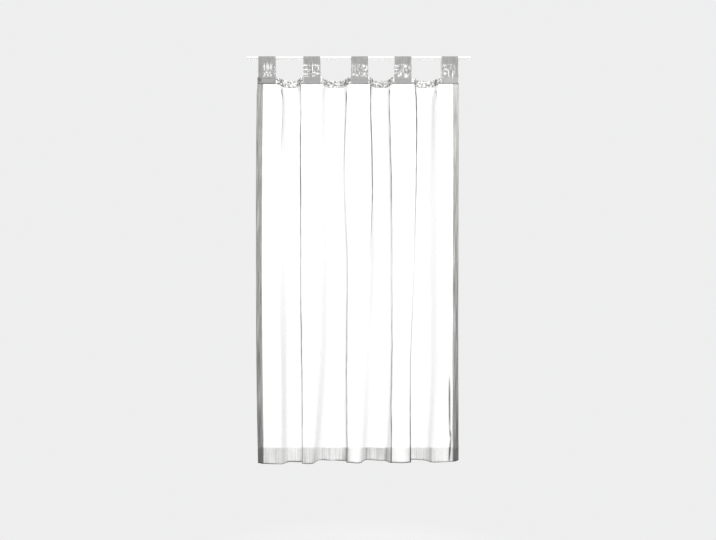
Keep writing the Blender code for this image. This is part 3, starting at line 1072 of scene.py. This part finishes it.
weaveGroup = makeWeaveGroup()
mottleGroup = makeMottleGroup()


def newMaterial(name):
    material = bpy.data.materials.new(name)
    material.use_nodes = True
    tree = material.node_tree
    tree.nodes.clear()
    return material, tree, addNode(tree, "ShaderNodeOutputMaterial")


def readMark(tree, label):
    return addNode(tree, "ShaderNodeAttribute", attribute_name=label).outputs["Fac"]


weaveDepth = 0.00012     # metres
clothSheen = 0.08
streakEdge = (0.35, 0.65)
seamSoft = 0.0006        # metres over which the tone changes where a strap is sewn on


def startVoile(name, look):
    # the weave, the soft patches and the colour that the cloth begins with
    material, tree, output = newMaterial(name)
    coordinates = addNode(tree, "ShaderNodeTexCoord").outputs
    weave = fillGroup(tree, weaveGroup, {"Cloth": coordinates["UV"], "Pitch": look["pitch"]})
    given = {"Place": coordinates["Object"], "Patch": look["patch"], "Edge": look["edge"]}
    patches = fillGroup(tree, mottleGroup, given)["Mask"]
    colour = blendColours(tree, patches, look["shade"], look["colour"])
    slubs = calc(tree, "MULTIPLY", weave["Slubs"], look["slubs"])
    colour = blendColours(tree, slubs, colour, look["slubColour"])
    return material, tree, output, coordinates, weave, colour, patches


def hangVoile(tree, output, look, weave, colour, layers=None):
    # sheer cloth: part of the light comes back, part goes through its threads, part passes between them
    cover = calc(tree, "MULTIPLY_ADD", weave["Slubs"], look["slubCover"], look["cover"], clamp=True)
    if layers is not None:
        cover = calc(tree, "MAXIMUM", cover, calc(tree, "MULTIPLY", layers, look["layeredCover"]))
    bump = addBump(tree, weave["Height"], look["bump"], weaveDepth)
    surface = {
        "Base Color": colour,
        "Roughness": look["roughness"],
        "Alpha": cover,
        "Normal": bump,
        "Sheen Weight": clothSheen,
    }
    face = addFace(tree, surface)
    through = addNode(tree, "ShaderNodeBsdfTranslucent", {"Color": colour, "Normal": bump}).outputs[0]
    both = addNode(tree, "ShaderNodeMixShader", {0: look["through"], 1: face, 2: through}).outputs[0]
    tree.links.new(both, output.inputs["Surface"])


def makePanelVoile(look):
    material, tree, output, coordinates, weave, colour, patches = startVoile("whiteVoile", look)
    # where the cloth is turned it is two and three layers deep and lets less through, in fine streaks along
    # its threads; there, and along the folds, its darker colour is painted shade
    streak = stretchedNoise(tree, coordinates["UV"], look["streaks"], 2.0)
    hemStreak = remap(tree, streak, *look["hemStreak"])
    side = calc(tree, "MULTIPLY", readMark(tree, "turnedSide"), remap(tree, streak, *look["sideStreak"]))
    mottle = calc(tree, "MULTIPLY_ADD", patches, *look["hemMottle"])
    hem = calc(tree, "MULTIPLY", calc(tree, "MULTIPLY", readMark(tree, "turnedHem"), hemStreak), mottle)
    fold = readMark(tree, "foldShade")
    deep = calc(tree, "MULTIPLY", fold, look["foldCover"], clamp=True)
    layers = calc(tree, "MAXIMUM", side, calc(tree, "MAXIMUM", hem, deep))
    for share, tone in ((hem, "hemColour"), (side, "sideColour"), (fold, "foldColour")):
        colour = blendColours(tree, share, colour, look[tone])
    hangVoile(tree, output, look, weave, colour, layers)
    return material


# hemColour, sideColour and foldColour are painted shade for the turned and folded cloth
panelLook = {
    "colour": (0.94, 0.94, 0.935), "shade": (0.92, 0.92, 0.915), "slubColour": (0.86, 0.86, 0.855),
    "hemColour": (0.28, 0.28, 0.275), "sideColour": (0.25, 0.247, 0.232), "foldColour": (0.05, 0.05, 0.05),
    "foldCover": 2.0,
    "streaks": (420, 9, 1), "sideStreak": (0.35, 0.65, 0.60, 1.0), "hemStreak": (0.38, 0.62, 0.45, 1.15),
    "hemMottle": (0.5, 0.6), "layeredCover": 0.97,
    "patch": 0.05, "edge": 0.25, "slubs": 0.5, "slubCover": 0.25, "cover": 0.42,
    "through": 0.27, "bump": 0.25, "roughness": 0.85, "pitch": 0.00042,
}


def makeDoubledVoile(name, look):
    # two layers of one cloth: greyer with painted shade, streaked along its threads, with patches of painted
    # light
    material, tree, output, coordinates, weave, colour = startVoile(name, look)[:-1]
    own = coordinates["Object"]
    place = addNode(tree, "ShaderNodeSeparateXYZ", {0: own}).outputs
    streak = remap(tree, stretchedNoise(tree, own, look["streaks"], 1.5), *streakEdge)
    # painted shade: darker below where a strap is sewn over the heading
    sewn = remap(tree, place[2], look["sewnFrom"] - seamSoft, look["sewnFrom"] + seamSoft, 1.0, 0.0)
    for share, part in ((streak, "streak"), (sewn, "sewn")):
        share = calc(tree, "MULTIPLY", share, look[part + "Share"])
        colour = blendColours(tree, share, colour, look[part + "Colour"])
    colour = blendColours(tree, readMark(tree, "gatheredShade"), colour, look["paintedShadeColour"])
    # painted light: bright glints, only within the glint zone
    glint = remap(tree, stretchedNoise(tree, own, look["glints"], 1.5), *look["glintEdge"])
    glint = calc(tree, "MULTIPLY", glint, look["glintShare"])
    for axis, *ends in look["glintZone"]:
        for end, (toLow, toHigh) in zip(ends, ((0.0, 1.0), (1.0, 0.0))):
            fading = remap(tree, place[axis], end - look["glintSoft"], end + look["glintSoft"], toLow, toHigh)
            glint = calc(tree, "MULTIPLY", glint, fading)
    paintedLightShade = readMark(tree, "paintedLightShade")
    colour = blendColours(tree, calc(tree, "MAXIMUM", glint, paintedLightShade), colour, look["glintColour"])
    paintedShadeShare = calc(tree, "MULTIPLY", paintedLightShade, -1.0, clamp=True)
    colour = blendColours(tree, paintedShadeShare, colour, look["paintedShadeColour"])
    hangVoile(tree, output, look, weave, colour)
    return material


# the greys of both are painted shade of backlit doubled cloth; glintColour is painted light
doubledLooks = {
    "doubledVoile": {
        "colour": (0.74, 0.74, 0.73), "shade": (0.16, 0.16, 0.157), "slubColour": (0.55, 0.55, 0.54),
        "streaks": (300, 300, 60), "streakShare": 0.35, "streakColour": (0.22, 0.22, 0.215),
        "sewnFrom": -0.2, "sewnShare": 0.0, "sewnColour": (0.4, 0.4, 0.4), "paintedShadeColour": (0.10, 0.10, 0.10),
        "glints": (150, 150, 200), "glintEdge": (0.52, 0.58), "glintShare": 1.0,
        "glintColour": (0.98, 0.98, 0.97), "glintZone": ((0, 0.05, 0.655),), "glintSoft": 0.001,
        "patch": 0.008, "edge": 0.06, "slubs": 0.4, "slubCover": 0.2, "cover": 0.90,
        "through": 0.12, "bump": 0.3, "roughness": 0.88, "pitch": 0.00042,
    },
    "tabVoile": {
        "colour": (0.40, 0.40, 0.39), "shade": (0.32, 0.32, 0.315), "slubColour": (0.29, 0.29, 0.29),
        "streaks": (480, 480, 26), "streakShare": 0.75, "streakColour": (0.24, 0.24, 0.235),
        "sewnFrom": -0.061, "sewnShare": 0.7, "sewnColour": (0.33, 0.33, 0.33),
        "paintedShadeColour": (0.12, 0.12, 0.12), "glints": (230, 60, 170), "glintEdge": (0.53, 0.61),
        "glintShare": 0.45, "glintColour": (0.98, 0.98, 0.97),
        "glintZone": ((0, 0.052, 0.655), (2, -0.060, -0.020)), "glintSoft": 0.001,
        "patch": 0.009, "edge": 0.25, "slubs": 0.6, "slubCover": 0.2, "cover": 0.88,
        "through": 0.08, "bump": 0.3, "roughness": 0.88, "pitch": 0.00042,
    },
}


def makeLacquer(look):
    material, tree, output = newMaterial("rodLacquer")
    place = addNode(tree, "ShaderNodeTexCoord").outputs["Object"]
    given = {"Place": place, "Patch": look["patch"], "Edge": look["edge"]}
    patches = fillGroup(tree, mottleGroup, given)["Mask"]
    surface = {
        "Base Color": blendColours(tree, patches, look["shade"], look["colour"]),
        "Roughness": remap(tree, patches, 0.0, 1.0, *look["roughness"]),
        "Normal": addBump(tree, addNoise(tree, place, look["orangePeel"], 2.0), *look["bump"]),
        "Coat Weight": look["coat"],
        "Coat Roughness": look["coatRoughness"],
    }
    tree.links.new(addFace(tree, surface), output.inputs["Surface"])
    return material


rodLook = {
    "colour": (0.90, 0.90, 0.89), "shade": (0.86, 0.86, 0.85), "patch": 0.03, "edge": 0.3,
    "orangePeel": 900.0, "bump": (0.12, 0.0001), "roughness": (0.28, 0.38),
    "coat": 0.25, "coatRoughness": 0.2,
}


def makeThread(look):
    material, tree, output = newMaterial("sewingThread")
    place = addNode(tree, "ShaderNodeTexCoord").outputs["Object"]
    twist = addNoise(tree, place, look["twist"], 1.0)
    surface = {
        "Base Color": blendColours(tree, twist, look["shade"], look["colour"]),
        "Roughness": look["roughness"],
        "Normal": addBump(tree, twist, *look["bump"]),
    }
    tree.links.new(addFace(tree, surface), output.inputs["Surface"])
    return material


threadLook = {
    "colour": (0.90, 0.90, 0.89), "shade": (0.78, 0.78, 0.77), "roughness": 0.6,
    "twist": 2600.0, "bump": (0.3, 0.00005),
}


def dress(piece, material):
    piece.data.materials.clear()
    piece.data.materials.append(material)


# the pieces
panel = makePanel(panelCut)
print("stage: panel hung")
heading = makeHeading(headingCut)
straps = [makeTab(tab, tabCut, number) for number, tab in enumerate(tabs)]
print("stage: heading and tabs made")
rod = makeRod(rodCut)
oneStitch = makeStitch(stitch)
hemStitches = sewSeams("hemStitches", oneStitch, hemSeams())
headingStitches = sewSeams("headingStitches", oneStitch, headingSeams())
tabStitches = sewSeams("tabStitches", oneStitch, tabSeams())
bpy.data.objects.remove(oneStitch)
print("stage: seams sewn")

voiles = {name: makeDoubledVoile(name, look) for name, look in doubledLooks.items()}
thread = makeThread(threadLook)
dress(panel, makePanelVoile(panelLook))
dress(heading, voiles["doubledVoile"])
dress(rod, makeLacquer(rodLook))
for strap, length in straps:
    dress(strap, voiles["tabVoile"])
for seam in (hemStitches, headingStitches, tabStitches):
    dress(seam, thread)
print("stage: finishes given")

# each piece hangs from the root; the solid parts that the panel, heading, rod and tabs replace are hidden
for piece, node, finish in (
    (panel, "panel", "white_voile"),
    (heading, "heading", "doubled_voile"),
    (rod, "rod", "rod_lacquer"),
):
    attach(piece, "root")
    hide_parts(node)
for (strap, length), tab in zip(straps, tabs):
    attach(strap, "root")
    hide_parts(tab["node"])
for seam, finish in (
    (hemStitches, "white_voile"),
    (headingStitches, "doubled_voile"),
    (tabStitches, "tab_voile"),
):
    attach(seam, "root")


# floor, light and background
rodMiddle = rodCut["length"] / 2
room = {
    "floor": -1.90,
    "floorReach": 1.3,
    "floorFade": 0.5,          # it fades out from here
    "floorEdge": 0.96,         # to this share of its reach
    "floorColour": (0.58, 0.58, 0.57),
    "floorDarker": 0.96,
    "floorRoughness": 0.8,
    "wall": 0.86,
    "ambient": 0.35,
    "coolness": 1.003,
    "windowSize": (2.2, 2.4),
    "windowPlace": (rodMiddle, 2.0, -0.60),
    "windowLight": 4.5,        # radiance
    "skyPlace": (0.65, -2.4, 1.1),
    "skySize": 2.2,
    "skyLight": 7.2,
}


def addFloor(cut):
    deselect()
    bpy.ops.mesh.primitive_circle_add(vertices=96, radius=cut["floorReach"], fill_type="TRIFAN")
    floor = bpy.context.object
    floor.name = "paleFloor"
    bpy.ops.object.mode_set(mode="EDIT")
    bpy.ops.mesh.select_all(action="SELECT")
    bpy.ops.mesh.subdivide(number_cuts=3)
    bpy.ops.object.mode_set(mode="OBJECT")
    centre = (rodMiddle, 0.0, cut["floor"])
    floor.location = centre
    bpy.ops.object.transform_apply(location=True, rotation=True, scale=True)
    material, tree, output = newMaterial("paleBoards")
    place = addNode(tree, "ShaderNodeTexCoord").outputs["Object"]
    gap = addNode(tree, "ShaderNodeVectorMath", {0: place, 1: centre}, operation="DISTANCE").outputs["Value"]
    seen = remap(tree, gap, cut["floorFade"], cut["floorReach"] * cut["floorEdge"], 1.0, 0.0)
    darker = tuple(cut["floorDarker"] * value for value in cut["floorColour"])
    colour = blendColours(tree, addNoise(tree, place, 3.0, 4.0), cut["floorColour"], darker)
    face = addFace(tree, {"Base Color": colour, "Roughness": cut["floorRoughness"], "Alpha": seen})
    tree.links.new(face, output.inputs["Surface"])
    dress(floor, material)


def addPanelLight(name, place, aim, size, radiance):
    deselect()
    bpy.ops.object.light_add(type="AREA", location=place)
    lamp = bpy.context.object
    lamp.name = name
    lamp.data.shape = "RECTANGLE"
    lamp.data.size, lamp.data.size_y = size
    lamp.data.energy = radiance * math.pi * size[0] * size[1]
    lamp.rotation_euler = (Vector(aim) - Vector(place)).to_track_quat("-Z", "Y").to_euler()
    lamp.visible_camera = False


def addWorld(cut):
    world = bpy.data.worlds.new("paleWall")
    bpy.context.scene.world = world
    world.use_nodes = True
    tree = world.node_tree
    tree.nodes.clear()
    seenDirectly = addNode(tree, "ShaderNodeLightPath").outputs["Is Camera Ray"]
    tones = ((value, value, value * cut["coolness"], 1) for value in (cut["wall"], cut["ambient"]))
    wall, air = (addNode(tree, "ShaderNodeBackground", {"Color": tone}).outputs[0] for tone in tones)
    both = addNode(tree, "ShaderNodeMixShader", {0: seenDirectly, 1: air, 2: wall}).outputs[0]
    addNode(tree, "ShaderNodeOutputWorld", {"Surface": both})


addFloor(room)
addWorld(room)
windowPlace = room["windowPlace"]
addPanelLight(
    "windowLight", windowPlace, (windowPlace[0], 0, windowPlace[2]), room["windowSize"], room["windowLight"]
)
addPanelLight(
    "skyLight", room["skyPlace"], (rodMiddle, 0, -0.6), (room["skySize"], room["skySize"]), room["skyLight"]
)
bpy.context.scene.view_settings.view_transform = "Standard"
print("stage: room lit")
